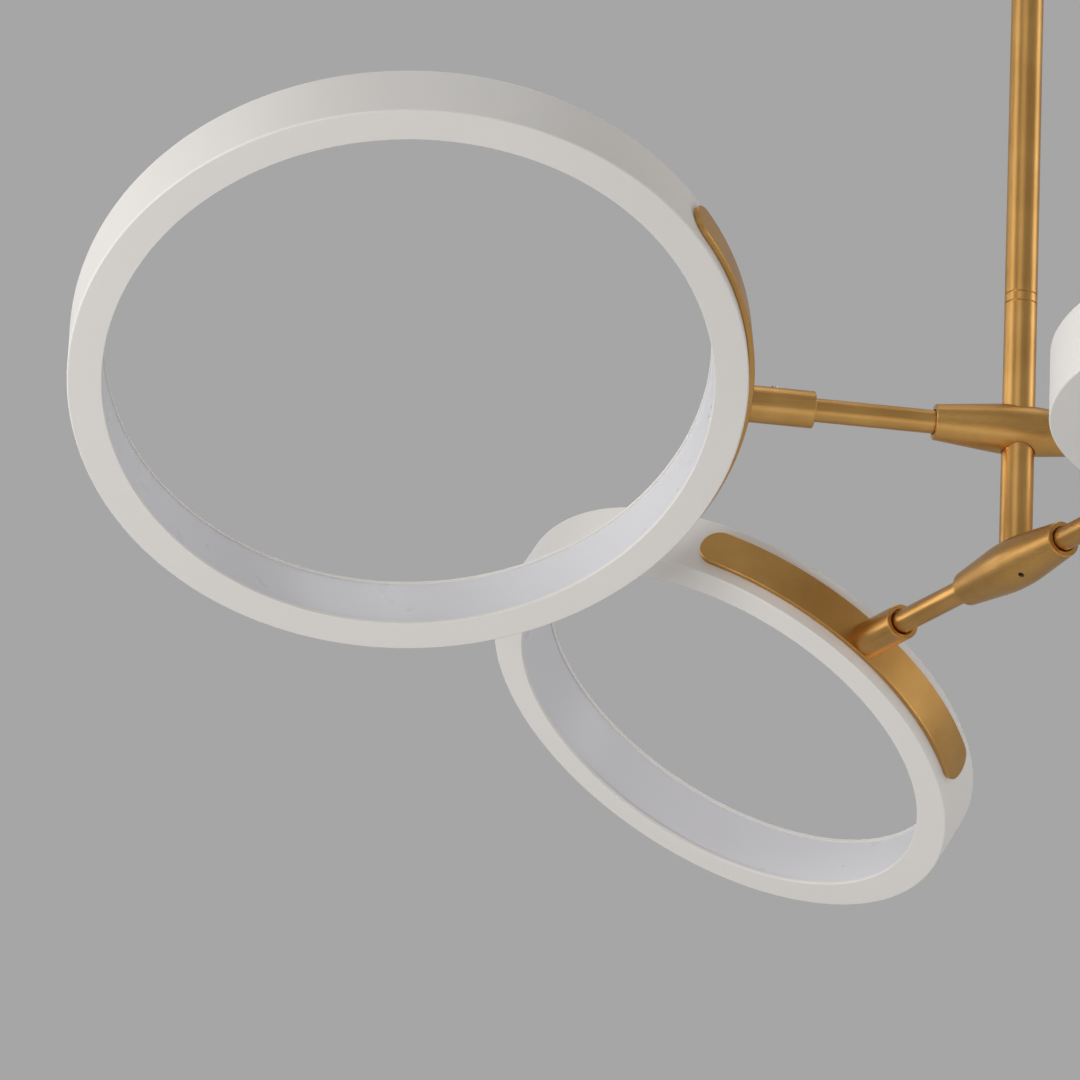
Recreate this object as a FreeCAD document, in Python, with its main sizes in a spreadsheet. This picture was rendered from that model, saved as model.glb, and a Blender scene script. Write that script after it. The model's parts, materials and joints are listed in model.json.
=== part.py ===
import FreeCAD, Part
import math
import os
import Sketcher

# A ceiling light of four lit rings. A brass stem hangs from a canopy and carries two
# barrel-shaped hubs, one above the other. Each hub holds two arm rods in line, and each rod
# ends in a collar that a ring turns on. Millimetres and degrees. The origin is the middle of
# the mounting plate's top face, which lies on the ceiling, and +Z points up. The upper hub's
# arms lie along X: the left ring is at -X and the right ring at +X.

os.makedirs("parts", exist_ok=True)
document = FreeCAD.newDocument("RingChandelier")
sheet = document.addObject("Spreadsheet::Sheet", "Sizes")
Vector = FreeCAD.Vector
Rotation = FreeCAD.Rotation
Placement = FreeCAD.Placement
UP = Vector(0, 0, 1)
sub_parts = []


# ---------------------------------------------------------------- sizes in the sheet

class Size:
    """A driving size or something worked out from driving sizes: its value, and the text
    that binds a feature to the sheet."""

    def __init__(self, value, text):
        self.value = float(value)
        self.text = text

    def __add__(self, other):
        other = as_size(other)
        return Size(self.value + other.value, f"({self.text} + {other.text})")

    def __sub__(self, other):
        other = as_size(other)
        return Size(self.value - other.value, f"({self.text} - {other.text})")

    def __mul__(self, other):
        other = as_size(other)
        return Size(self.value * other.value, f"({self.text} * {other.text})")

    def __truediv__(self, other):
        other = as_size(other)
        return Size(self.value / other.value, f"({self.text} / {other.text})")

    def __neg__(self):
        return Size(-self.value, f"(0 - {self.text})")

    __radd__ = __add__

    def __rsub__(self, other):
        return as_size(other) - self

    __rmul__ = __mul__


def as_size(number):
    return number if isinstance(number, Size) else Size(number, repr(float(number)))


def root_of(size):
    return Size(math.sqrt(size.value), f"sqrt({size.text})")


def driving(name, value, meaning):
    """One row of the sheet: a plain number with a word for an alias."""
    row = len(sheet.getUsedCells()) // 3 + 1
    sheet.set(f"A{row}", name)
    sheet.set(f"B{row}", str(value))
    sheet.set(f"C{row}", meaning)
    sheet.setAlias(f"B{row}", name)
    return Size(value, f"Sizes.{name}")


# Rings
large_radius = driving("LargeRingRadius", 162, "outer band of the left and right rings")
small_radius = driving("SmallRingRadius", 132, "outer band of the rear and front rings")
ring_width = driving("RingWidth", 32.5, "along the ring's axis")
ring_depth = driving("RingDepth", 16.5, "from the outer band in to the flanges' inner edge")
band_wall = driving("BandWall", 1.5, "outer wall of the channel")
flange_wall = driving("FlangeWall", 1.8, "front and back walls of the channel")
outer_round = driving("OuterRound", 0.9, "rounding of the channel's outer edges")
inner_round = driving("InnerRound", 0.4, "rounding of the flanges' inner edges")
diffuser_wall = driving("DiffuserWall", 2, "thickness of the opal diffuser")
diffuser_recess = driving("DiffuserRecess", 0.8, "how far it sits behind the flanges' edge")
diffuser_play = driving("DiffuserPlay", 0.1, "clearance of the diffuser in its grooves")
diffuser_groove = driving("DiffuserGroove", 0.7, "depth of those grooves")
diffuser_seam = driving("DiffuserSeam", 0.35, "gap where the diffuser's two ends meet")
strip_wall = driving("StripWall", 1.2, "thickness of the LED strip")
strip_width = driving("StripWidth", 14, "width of the LED strip")
strip_tape = driving("StripTape", 0.2, "tape behind the LED strip")
strip_gap = driving("StripGap", 6, "half angle left free for the hollow bolt's head")
plate_wall = driving("PlateWall", 3, "thickness of the curved brass plate")
plate_width = driving("PlateWidth", 19.6, "width of the brass plate")
plate_half_angle = driving("PlateHalfAngle", 42, "arc of the brass plate each side of the arm")
plate_corner = driving("PlateCorner", 9.5, "rounding of the brass plate's ends")
plate_edge = driving("PlateEdge", 0.5, "rounding of the brass plate's outer edge")

# Arms
arm_reach = driving("ArmReach", 135, "stem axis to the ring's outer band")
lower_arm_angle = driving("LowerArmAngle", 111, "rear arm, from +X about +Z")
rod_radius = driving("RodRadius", 5.75, "arm rod")
rod_bore = driving("RodBore", 3.25, "lead hole in the arm rod")
rod_groove = driving("RodGroove", 0.6, "depth of the groove that the collar screw rides in")
collar_wall = driving("CollarWall", 3.25, "collar, from the rod out")
collar_length = driving("CollarLength", 34.5, "collar, from the ring's band to its mouth")
mouth_gap = driving("MouthGap", 0.6, "recess round the rod in collar and hub ends")
collar_mouth = driving("CollarMouth", 3, "depth of the collar's recess")
collar_screw_inset = driving("CollarScrewInset", 15, "collar screw, from the ring's band")
collar_screw_turn = driving("CollarScrewTurn", 150, "collar screw, from the ring's axis")
collar_screw_radius = driving("CollarScrewRadius", 2, "M4 collar screw")
collar_screw_proud = driving("CollarScrewProud", 0.7, "how far it stands out of the collar")
rod_inset = driving("RodInset", 10, "rod's outer end, from the ring's band")
bolt_radius = driving("BoltRadius", 5, "hollow bolt through plate and channel")
bolt_bore = driving("BoltBore", 3, "lead hole in the hollow bolt")
bolt_head_radius = driving("BoltHeadRadius", 8, "head of the hollow bolt")
bolt_head_wall = driving("BoltHeadWall", 1.5, "thickness of that head")
arm_lead_radius = driving("ArmLeadRadius", 2.5, "lead in an arm rod")

# Hubs
hub_half_length = driving("HubHalfLength", 41.5, "barrel, from the stem axis to its end")
hub_wall = driving("HubWall", 5.1, "from the stem's tube to where the two cones meet")
hub_end_wall = driving("HubEndWall", 2.95, "barrel's end, from the rod out")
hub_belly_round = driving("HubBellyRound", 130, "rounding between the two cones")
hub_edge = driving("HubEdge", 0.4, "chamfer at the barrel's ends")
hub_mouth = driving("HubMouth", 4, "depth of the recess in the barrel's ends")
rod_screw_offset = driving("RodScrewOffset", 13, "set screw on a rod, from the stem axis")
rod_screw_turn = driving("RodScrewTurn", 155, "rod set screws, from straight up")
tube_screw_rise = driving("TubeScrewRise", 7, "set screw on the stem, above the arm axis")
set_screw_radius = driving("SetScrewRadius", 1.5, "M3 set screw")
set_screw_sink = driving("SetScrewSink", 0.6, "set screw below the barrel's surface")

# Stem
tube_radius = driving("TubeRadius", 8, "stem tubes")
tube_wall = driving("TubeWall", 1.5, "thickness of the stem tubes")
top_rod_length = driving("TopRodLength", 305, "upper stem tube")
coupler_height = driving("CouplerHeight", 4.8, "band between the stem tubes")
coupler_rise = driving("CouplerRise", 65.8, "band's lower face above the upper hub's axis")
hub_spacing = driving("HubSpacing", 69, "upper hub's axis to lower hub's axis")
spigot_length = driving("SpigotLength", 14, "spigots that join the stem tubes")
tube_chamfer = driving("TubeChamfer", 0.4, "chamfer that makes the fine dark grooves")
lead_bore = driving("LeadBore", 3.5, "lead hole through coupler, tongue and swivel head")
stem_lead_radius = driving("StemLeadRadius", 3, "lead in the stem")
window_radius = driving("WindowRadius", 3.3, "holes in the stem tube for the arm leads")
tube_socket = driving("TubeSocket", 3.2, "stem tube's lower end above the lower arm axis")
groove_half_width = driving("GrooveHalfWidth", 1.6, "groove that the lower hub turns on")
groove_depth = driving("GrooveDepth", 0.5, "depth of that groove")

# Swivel under the canopy
head_radius = driving("HeadRadius", 12, "swivel head")
head_floor = driving("HeadFloor", 5, "swivel head above its slot")
neck_radius = driving("NeckRadius", 5, "M10 neck of the swivel head")
neck_height = driving("NeckHeight", 9, "neck above the canopy's underside")
pivot_drop = driving("PivotDrop", 15, "pivot below the canopy")
tongue_width = driving("TongueWidth", 14, "tongue between the cheeks")
tongue_round = driving("TongueRound", 9, "tongue's radius about the pivot")
tongue_base = driving("TongueBase", 6, "round base of the tongue")
base_gap = driving("BaseGap", 0.5, "tongue's base below the cheeks")
pivot_radius = driving("PivotRadius", 2, "M4 pivot screws")
pivot_head_radius = driving("PivotHeadRadius", 3.5, "pivot screw heads")
pivot_head_wall = driving("PivotHeadWall", 1.6, "thickness of those heads")
washer_radius = driving("WasherRadius", 9, "washer in the canopy")
washer_wall = driving("WasherWall", 1, "its thickness")
nut_width = driving("NutWidth", 16, "lock nut, across its corners")
nut_height = driving("NutHeight", 4.5, "its thickness")

# Ceiling end
mount_radius = driving("MountRadius", 59, "mounting plate")
mount_wall = driving("MountWall", 2, "its thickness")
mount_hole = driving("MountHole", 11, "its middle hole for the supply leads")
slot_spacing = driving("SlotSpacing", 80, "middle to middle of the two slots")
slot_length = driving("SlotLength", 14, "end to end")
slot_width = driving("SlotWidth", 5, "slot width")
canopy_radius = driving("CanopyRadius", 65, "canopy")
canopy_height = driving("CanopyHeight", 26, "ceiling to the canopy's underside")
canopy_wall = driving("CanopyWall", 1.5, "thickness of the canopy")
canopy_round = driving("CanopyRound", 5, "its lower edge")
ceiling_gap = driving("CeilingGap", 0.5, "canopy's rim below the ceiling")
stud_offset = driving("StudOffset", 53, "canopy studs from the middle")
stud_radius = driving("StudRadius", 2, "M4 canopy studs")
stud_below = driving("StudBelow", 5, "stud's length below the canopy")
cap_radius = driving("CapRadius", 5, "cap nuts")
cap_height = driving("CapHeight", 7.5, "cap nuts' height")
driver_length = driving("DriverLength", 76, "LED driver")
driver_width = driving("DriverWidth", 28, "LED driver")
driver_height = driving("DriverHeight", 16, "LED driver")
driver_start = driving("DriverStart", 17, "driver's near face from the stem axis")
driver_round = driving("DriverRound", 2, "rounding of the driver's upright edges")
driver_screw_offset = driving("DriverScrewOffset", 30, "driver screws from its middle")
driver_screw_radius = driving("DriverScrewRadius", 1.5, "M3 driver screws")
driver_screw_length = driving("DriverScrewLength", 8, "under the head")
flat_head_radius = driving("FlatHeadRadius", 2.8, "heads sunk in the mounting plate")
flat_head_wall = driving("FlatHeadWall", 1.2, "their thickness")
lead_exit = driving("LeadExit", 4.5, "driver lead's middle below the mounting plate")
terminal_length = driving("TerminalLength", 27, "terminal block")
terminal_width = driving("TerminalWidth", 12, "terminal block")
terminal_height = driving("TerminalHeight", 11, "terminal block")
terminal_start = driving("TerminalStart", 24, "its near face from the stem axis")
terminal_pitch = driving("TerminalPitch", 8.5, "distance between its wire holes")
terminal_hole = driving("TerminalHole", 1.8, "radius of its wire holes")
earth_offset = driving("EarthOffset", 28, "earth screw from the middle, both ways")
earth_radius = driving("EarthRadius", 2, "M4 earth screw")
earth_head_radius = driving("EarthHeadRadius", 4, "its hexagon head, across the corners")
earth_length = driving("EarthLength", 5, "its thread below the head")

# Clearances
fit_gap = driving("FitGap", 0.05, "round a shaft that turns or a spigot that is pushed in")
free_gap = driving("FreeGap", 0.3, "between ends that must not touch")
hair_gap = driving("HairGap", 0.1, "between flat faces that turn on each other")

half_width = ring_width / 2
collar_radius = rod_radius + collar_wall
mouth_radius = rod_radius + mouth_gap
hub_apex_radius = tube_radius + hub_wall
hub_end_radius = rod_radius + hub_end_wall
tube_bore = tube_radius - tube_wall
lead_bend = canopy_height - neck_height - mount_wall - lead_exit - free_gap * 5
EVEN_TILT = -90.0
FACING_TILT = -60.0
SEAM_TURN = -75.0


# ---------------------------------------------------------------- helpers

def bind(thing, name, size):
    size = as_size(size)
    setattr(thing, name, size.value)
    if "Sizes." in size.text:
        thing.setExpression(name, size.text)


def start_body(label):
    body = document.addObject("PartDesign::Body", label)
    body.Label = label
    return body


def start_sketch(body, role, turn=0.0, rise=0.0):
    """A sketch on one of the body's own planes, turned about the sketch's upright axis and
    moved along its normal."""
    sketch = body.newObject("Sketcher::SketchObject", f"{body.Name}_sketch")
    for plane in body.Origin.OriginFeatures:
        if plane.Role == role:
            sketch.AttachmentSupport = [(plane, "")]
    sketch.MapMode = "FlatFace"
    sketch.AttachmentOffset = Placement(Vector(0, 0, 0), Rotation(Vector(0, 1, 0), turn))
    bind_rise = as_size(rise)
    if bind_rise.value:
        sketch.AttachmentOffset = Placement(Vector(0, 0, bind_rise.value), Rotation())
        sketch.setExpression("AttachmentOffset.Base.z", bind_rise.text)
    return sketch


def pin_down(sketch, geometry, end, x, y):
    """Ties one point of the sketch to its two distances from the sketch's origin."""
    for kind, axis, size in (("DistanceX", -2, as_size(x)), ("DistanceY", -1, as_size(y))):
        if size.value == 0:
            sketch.addConstraint(Sketcher.Constraint("PointOnObject", geometry, end, axis))
            continue
        constraint = Sketcher.Constraint(kind, -1, 1, geometry, end, size.value)
        index = sketch.addConstraint(constraint)
        if "Sizes." in size.text:
            sketch.setExpression(f"Constraints[{index}]", size.text)


def outline(sketch, corners):
    """A closed outline through the corners."""
    points = [Vector(as_size(x).value, as_size(y).value, 0) for x, y in corners]
    first = sketch.GeometryCount
    count = len(points)
    for index, point in enumerate(points):
        sketch.addGeometry(Part.LineSegment(point, points[(index + 1) % count]), False)
    for index, (x, y) in enumerate(corners):
        after = first + (index + 1) % count
        sketch.addConstraint(Sketcher.Constraint("Coincident", first + index, 2, after, 1))
        pin_down(sketch, first + index, 1, x, y)


def circle(sketch, x, y, radius):
    x, y, radius = as_size(x), as_size(y), as_size(radius)
    shape = Part.Circle(Vector(x.value, y.value, 0), UP, radius.value)
    geometry = sketch.addGeometry(shape, False)
    pin_down(sketch, geometry, 3, x, y)
    index = sketch.addConstraint(Sketcher.Constraint("Radius", geometry, radius.value))
    sketch.setExpression(f"Constraints[{index}]", radius.text)


def turn_round(body, corners, angle=None, axis="V_Axis", cut=False):
    """A revolved outline, drawn as (distance from the axis, height). Sketch X is the body's
    X and sketch Y is its Z."""
    sketch = start_sketch(body, "XZ_Plane")
    outline(sketch, corners)
    kind = "Groove" if cut else "Revolution"
    feature = body.newObject(f"PartDesign::{kind}", f"{body.Name}_{kind}")
    feature.Profile = sketch
    feature.ReferenceAxis = (sketch, [axis])
    feature.Angle = 360.0
    if angle is not None:
        feature.Midplane = True
        bind(feature, "Angle", angle)
    return finish(body, feature)


def raise_up(body, sketch, height, both_ways=False):
    feature = body.newObject("PartDesign::Pad", f"{body.Name}_Pad")
    feature.Profile = sketch
    feature.SideType = "Symmetric" if both_ways else "One side"
    bind(feature, "Length", height)
    return finish(body, feature)


def cut_away(body, sketch, length, along_normal=False, both_ways=False):
    """A pocket. It has to take something away."""
    before = body.Shape.Volume
    feature = body.newObject("PartDesign::Pocket", f"{body.Name}_Pocket")
    feature.Profile = sketch
    feature.SideType = "Symmetric" if both_ways else "One side"
    feature.Reversed = along_normal
    bind(feature, "Length", length)
    finish(body, feature)
    if body.Shape.Volume > before - 1e-3:
        raise ValueError(f"a pocket in {body.Label} cuts nothing")
    return feature


def drill(body, along, radius, reach, turn=0.0):
    """A hole square to the body's Z, at that height, from the axis outwards. turn is its
    direction from +X about +Z."""
    sketch = start_sketch(body, "YZ_Plane", turn=as_size(turn).value)
    circle(sketch, 0, along, radius)
    return cut_away(body, sketch, reach, along_normal=True)


def finish(body, feature):
    body.Tip = feature
    document.recompute()
    if feature.Shape.isNull() or "Invalid" in feature.State:
        raise ValueError(f"{feature.Label} in {body.Label} fails: {feature.getStatusString()}")
    return feature


def edges_of(feature, wanted):
    """Names of the edges that the test picks."""
    edges = enumerate(feature.Shape.Edges, start=1)
    return [f"Edge{number}" for number, edge in edges if wanted(edge)]


def ring_edges(feature, *places):
    """Names of the full circles about Z at each (radius, height)."""
    def wanted(edge):
        if not isinstance(edge.Curve, Part.Circle):
            return False
        for radius, height in places:
            same_radius = abs(edge.Curve.Radius - as_size(radius).value) < 1e-4
            if same_radius and abs(edge.Curve.Center.z - as_size(height).value) < 1e-4:
                return True
        return False
    return edges_of(feature, wanted)


def ease(body, feature, names, size, kind="Fillet"):
    """Fillet or chamfer on the named edges."""
    if not names:
        raise ValueError(f"no edge to ease on {body.Label}")
    eased = body.newObject(f"PartDesign::{kind}", f"{body.Name}_{kind}")
    eased.Base = (feature, names)
    bind(eased, "Radius" if kind == "Fillet" else "Size", size)
    return finish(body, eased)


def put(thing, placement=None, height=None):
    """Sets the sub-part in place and adds it to the list that is written."""
    if placement is not None:
        thing.Placement = placement
    if height is not None:
        thing.Placement = Placement(Vector(0, 0, height.value), Rotation())
        thing.setExpression("Placement.Base.z", height.text)
    sub_parts.append(thing)
    return thing


def rod_between(name, radius, start, length, placement):
    """A plain round bar along the placement's Z."""
    bar = document.addObject("Part::Cylinder", name)
    bind(bar, "Radius", radius)
    bind(bar, "Height", length)
    bar.Placement = placement * Placement(Vector(0, 0, as_size(start).value), Rotation())
    return bar


def socket_screw(name, radius, length, placement):
    """A headless screw along the placement's Z with a hexagon socket in its outer end."""
    shank = rod_between(f"{name}_shank", radius, 0, length, Placement())
    socket = document.addObject("Part::Prism", f"{name}_socket")
    socket.Polygon = 6
    bind(socket, "Circumradius", radius * 0.55)
    bind(socket, "Height", length)
    socket.Placement = Placement(Vector(0, 0, (length * 0.5).value), Rotation())
    screw = document.addObject("Part::Cut", name)
    screw.Base = shank
    screw.Tool = socket
    screw.Placement = placement
    return screw


def group(label, things):
    """Equal fasteners in one sub-part, as separate solids."""
    joined = document.addObject("Part::Compound", label)
    joined.Label = label
    joined.Links = things
    document.recompute()
    return put(joined)


def frame_along(origin, z_axis, x_axis):
    """Placement whose local Z and X lie along these directions."""
    y_axis = z_axis.cross(x_axis)
    return Placement(origin, Rotation(x_axis, y_axis, z_axis, "ZXY"))


def square_out(along, turn):
    """Within a frame whose Z is an axis: out of that axis at this height and direction."""
    spin = Placement(Vector(0, 0, as_size(along).value), Rotation(UP, as_size(turn).value))
    tip = Placement(Vector(0, 0, 0), Rotation(Vector(0, 1, 0), 90))
    return spin * tip


# ---------------------------------------------------------------- heights down the stem

canopy_floor = -canopy_height
pivot_height = canopy_floor - pivot_drop
base_top = pivot_height - head_radius - base_gap
top_rod_top = base_top - tongue_base
coupler_top = top_rod_top - top_rod_length
hub_tube_top = coupler_top - coupler_height
upper_hub_height = hub_tube_top - coupler_rise
lower_hub_height = upper_hub_height - hub_spacing


# ---------------------------------------------------------------- ceiling end

def make_mounting_plate():
    body = start_body("mounting_plate")
    sketch = start_sketch(body, "XY_Plane")
    circle(sketch, 0, 0, mount_radius)
    circle(sketch, 0, 0, mount_hole)
    raise_up(body, sketch, mount_wall)
    straight = start_sketch(body, "XY_Plane")
    ends = start_sketch(body, "XY_Plane")
    reach = (slot_length - slot_width) / 2
    for side in (-1, 1):
        middle = slot_spacing / 2 * side
        outline(straight, [
            (middle - reach, -slot_width / 2),
            (middle + reach, -slot_width / 2),
            (middle + reach, slot_width / 2),
            (middle - reach, slot_width / 2),
        ])
    cut_away(body, straight, mount_wall * 2, both_ways=True)
    for side in (-1, 1):
        middle = slot_spacing / 2 * side
        circle(ends, middle - reach, 0, slot_width / 2)
        circle(ends, middle + reach, 0, slot_width / 2)
    cut_away(body, ends, mount_wall * 2, both_ways=True)
    holes = start_sketch(body, "XY_Plane")
    for side in (-1, 1):
        circle(holes, 0, stud_offset * side, stud_radius + fit_gap)
        circle(holes, driver_screw_offset * side, driver_middle, driver_screw_radius + fit_gap)
    circle(holes, -earth_offset, -earth_offset, earth_radius + fit_gap)
    cut_away(body, holes, mount_wall * 2, both_ways=True)
    sinks = start_sketch(body, "XY_Plane", rise=mount_wall - flat_head_wall - hair_gap)
    for side in (-1, 1):
        circle(sinks, driver_screw_offset * side, driver_middle, flat_head_radius + hair_gap)
    cut_away(body, sinks, mount_wall, along_normal=True)
    put(body, height=-mount_wall)


def make_canopy():
    body = start_body("canopy")
    rim = canopy_height - ceiling_gap
    shell = turn_round(body, [
        (neck_radius + hair_gap, 0),
        (canopy_radius, 0),
        (canopy_radius, rim),
        (canopy_radius - canopy_wall, rim),
        (canopy_radius - canopy_wall, canopy_wall),
        (neck_radius + hair_gap, canopy_wall),
    ])
    outer = ease(body, shell, ring_edges(shell, (canopy_radius, 0)), canopy_round)
    inner_edges = ring_edges(outer, (canopy_radius - canopy_wall, canopy_wall))
    rounded = ease(body, outer, inner_edges, canopy_round - canopy_wall)
    rims = ring_edges(rounded, (canopy_radius, rim), (canopy_radius - canopy_wall, rim))
    ease(body, rounded, rims, canopy_wall * 0.3)
    sketch = start_sketch(body, "XY_Plane")
    for side in (-1, 1):
        circle(sketch, 0, stud_offset * side, stud_radius + hair_gap)
    cut_away(body, sketch, canopy_height, both_ways=True)
    put(body, height=canopy_floor)


def make_canopy_studs():
    top = -hair_gap * 2
    length = top - canopy_floor + stud_below
    studs = []
    for side in (-1, 1):
        place = Placement(Vector(0, stud_offset.value * side, (canopy_floor - stud_below).value),
                          Rotation())
        studs.append(rod_between(f"stud_{side + 2}", stud_radius, 0, length, place))
    group("canopy_studs", studs)


def make_cap_nuts():
    """Domed nuts that hold the canopy up on its studs."""
    nuts = []
    hole_depth = stud_below + free_gap
    for side in (-1, 1):
        body = start_body(f"cap_nut_{side + 2}")
        dome = turn_round(body, [
            (0, 0),
            (cap_radius, 0),
            (cap_radius, cap_height),
            (stud_radius + fit_gap, cap_height),
            (stud_radius + fit_gap, cap_height - hole_depth),
            (0, cap_height - hole_depth),
        ])
        low = ease(body, dome, ring_edges(dome, (cap_radius, 0)), cap_radius * 0.6)
        ease(body, low, ring_edges(low, (cap_radius, cap_height)), cap_radius * 0.08)
        height = (canopy_floor - cap_height).value
        body.Placement = Placement(Vector(0, stud_offset.value * side, height), Rotation())
        nuts.append(body)
    group("cap_nuts", nuts)


def make_driver():
    body = start_body("led_driver")
    sketch = start_sketch(body, "XY_Plane")
    outline(sketch, [
        (-driver_length / 2, driver_start),
        (driver_length / 2, driver_start),
        (driver_length / 2, driver_start + driver_width),
        (-driver_length / 2, driver_start + driver_width),
    ])
    case = raise_up(body, sketch, driver_height)
    upright = edges_of(case, lambda edge: abs(edge.tangentAt(edge.FirstParameter).z) > 0.99)
    ease(body, case, upright, driver_round)
    holes = start_sketch(body, "XY_Plane", rise=driver_height - driver_screw_length)
    for side in (-1, 1):
        circle(holes, driver_screw_offset * side, driver_middle, driver_screw_radius + fit_gap)
    cut_away(body, holes, driver_height, along_normal=True)
    put(body, height=-mount_wall - driver_height)


def make_driver_screws():
    """Flat-headed screws, sunk in the mounting plate, that hold the driver under it."""
    screws = []
    underside = -hair_gap / 2 - flat_head_wall
    for side in (-1, 1):
        body = start_body(f"driver_screw_{side + 2}")
        turn_round(body, [
            (0, 0),
            (driver_screw_radius, 0),
            (driver_screw_radius, driver_screw_length),
            (flat_head_radius, driver_screw_length),
            (flat_head_radius, driver_screw_length + flat_head_wall),
            (0, driver_screw_length + flat_head_wall),
        ])
        body.Placement = Placement(
            Vector(driver_screw_offset.value * side, driver_middle.value,
                   (underside - driver_screw_length).value), Rotation())
        screws.append(body)
    group("driver_screws", screws)


def make_terminal_block():
    body = start_body("terminal_block")
    sketch = start_sketch(body, "XY_Plane")
    outline(sketch, [
        (-terminal_length / 2, -terminal_start - terminal_width),
        (terminal_length / 2, -terminal_start - terminal_width),
        (terminal_length / 2, -terminal_start),
        (-terminal_length / 2, -terminal_start),
    ])
    raise_up(body, sketch, terminal_height)
    wires = start_sketch(body, "XZ_Plane")
    for place in (-1, 0, 1):
        circle(wires, terminal_pitch * place, terminal_height / 2, terminal_hole)
    cut_away(body, wires, (terminal_start + terminal_width) * 3, both_ways=True)
    put(body, height=-mount_wall - terminal_height)


def make_earth_screw():
    """Hexagon head under the mounting plate, thread up into it."""
    head = document.addObject("Part::Prism", "earth_head")
    head.Polygon = 6
    bind(head, "Circumradius", earth_head_radius)
    bind(head, "Height", earth_head_radius * 0.7)
    shank = rod_between("earth_shank", earth_radius, 0, earth_length, Placement())
    screw = document.addObject("Part::Fuse", "earth_screw")
    screw.Label = "earth_screw"
    screw.Base = head
    screw.Tool = shank
    document.recompute()
    drop = (-hair_gap - earth_length).value
    put(screw, Placement(Vector(-earth_offset.value, -earth_offset.value, drop), Rotation()))


def make_driver_lead():
    """From the driver's near face, over a quarter turn, down into the swivel's neck."""
    body = start_body("driver_lead")
    route = start_sketch(body, "YZ_Plane")
    level = -mount_wall - lead_exit
    bend_end = level - lead_bend
    lowest = canopy_floor - head_floor
    start = Vector(driver_start.value, level.value, 0)
    bend_in = Vector(lead_bend.value, level.value, 0)
    bend_out = Vector(0, bend_end.value, 0)
    middle = Vector(lead_bend.value, bend_end.value, 0)
    route.addGeometry(Part.LineSegment(start, bend_in), False)
    quarter = Part.Circle(middle, UP, lead_bend.value)
    route.addGeometry(Part.ArcOfCircle(quarter, math.pi / 2, math.pi), False)
    route.addGeometry(Part.LineSegment(bend_out, Vector(0, lowest.value, 0)), False)
    route.addConstraint(Sketcher.Constraint("Coincident", 0, 2, 1, 1))
    route.addConstraint(Sketcher.Constraint("Coincident", 1, 2, 2, 1))
    pin_down(route, 0, 1, driver_start, level)
    pin_down(route, 1, 3, lead_bend, bend_end)
    pin_down(route, 0, 2, lead_bend, level)
    for geometry, height in ((1, bend_end), (2, lowest)):
        place = Sketcher.Constraint("DistanceY", -1, 1, geometry, 2, height.value)
        route.setExpression(f"Constraints[{route.addConstraint(place)}]", height.text)
    route.addConstraint(Sketcher.Constraint("Vertical", 2))
    section = start_sketch(body, "XZ_Plane", rise=-driver_start)
    circle(section, 0, level, stem_lead_radius)
    document.recompute()
    lead = body.newObject("PartDesign::AdditivePipe", "driver_lead_pipe")
    lead.Profile = section
    lead.Spine = (route, ["Edge1", "Edge2", "Edge3"])
    finish(body, lead)
    path = (driver_start - lead_bend).value + lead_bend.value * math.pi / 2
    path += (bend_end - lowest).value
    area = math.pi * stem_lead_radius.value ** 2
    print(f"driver lead: {path:.1f} mm long, bend radius {lead_bend.value} mm, volume "
          f"{body.Shape.Volume:.0f} against {area * path:.0f} mm3")
    put(body)


driver_middle = driver_start + driver_width / 2


# ---------------------------------------------------------------- swivel

def make_swivel_head():
    """A threaded neck that turns in the canopy, over two cheeks that hold the tongue. Its
    own origin is the pivot."""
    body = start_body("swivel_head")
    shoulder = pivot_drop - hair_gap
    neck_top = pivot_drop + neck_height
    turn_round(body, [
        (lead_bore, -head_radius),
        (head_radius, -head_radius),
        (head_radius, shoulder),
        (neck_radius, shoulder),
        (neck_radius, neck_top),
        (lead_bore, neck_top),
    ])
    slot = start_sketch(body, "XZ_Plane")
    slot_half = tongue_width / 2 + hair_gap * 2
    outline(slot, [
        (-slot_half, -head_radius * 2),
        (slot_half, -head_radius * 2),
        (slot_half, shoulder - head_floor),
        (-slot_half, shoulder - head_floor),
    ])
    cut_away(body, slot, head_radius * 3, both_ways=True)
    ends = start_sketch(body, "YZ_Plane")
    arc = Part.ArcOfCircle(Part.Circle(Vector(0, 0, 0), UP, head_radius.value), math.pi,
                           2 * math.pi)
    ends.addGeometry(arc, False)
    pin_down(ends, 0, 3, 0, 0)
    wide = head_radius * 1.2
    corners = [(head_radius, 0), (wide, 0), (wide, -wide), (-wide, -wide), (-wide, 0),
               (-head_radius, 0)]
    for index, (start, end) in enumerate(zip(corners, corners[1:]), start=1):
        points = [Vector(as_size(x).value, as_size(y).value, 0) for x, y in (start, end)]
        ends.addGeometry(Part.LineSegment(*points), False)
        ends.addConstraint(Sketcher.Constraint("Coincident", index - 1, 2, index, 1))
        pin_down(ends, index, 1, *start)
    last = len(corners) - 1
    ends.addConstraint(Sketcher.Constraint("Coincident", last, 2, 0, 1))
    ends.addConstraint(Sketcher.Constraint("PointOnObject", last, 2, -1))
    cut_away(body, ends, head_radius * 3, both_ways=True)
    for turn in (0, 180):
        drill(body, 0, pivot_radius + fit_gap, head_radius * 1.1, turn=turn)
    for turn in (0, 180):
        sketch = start_sketch(body, "YZ_Plane", turn=turn)
        seat = head_radius - pivot_head_wall - free_gap
        sketch.AttachmentOffset = (Placement(Vector(0, 0, 0), Rotation(Vector(0, 1, 0), turn))
                                   * Placement(Vector(0, 0, seat.value), Rotation()))
        circle(sketch, 0, 0, pivot_head_radius + hair_gap)
        cut_away(body, sketch, head_radius, along_normal=True)
    put(body, height=pivot_height)


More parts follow.
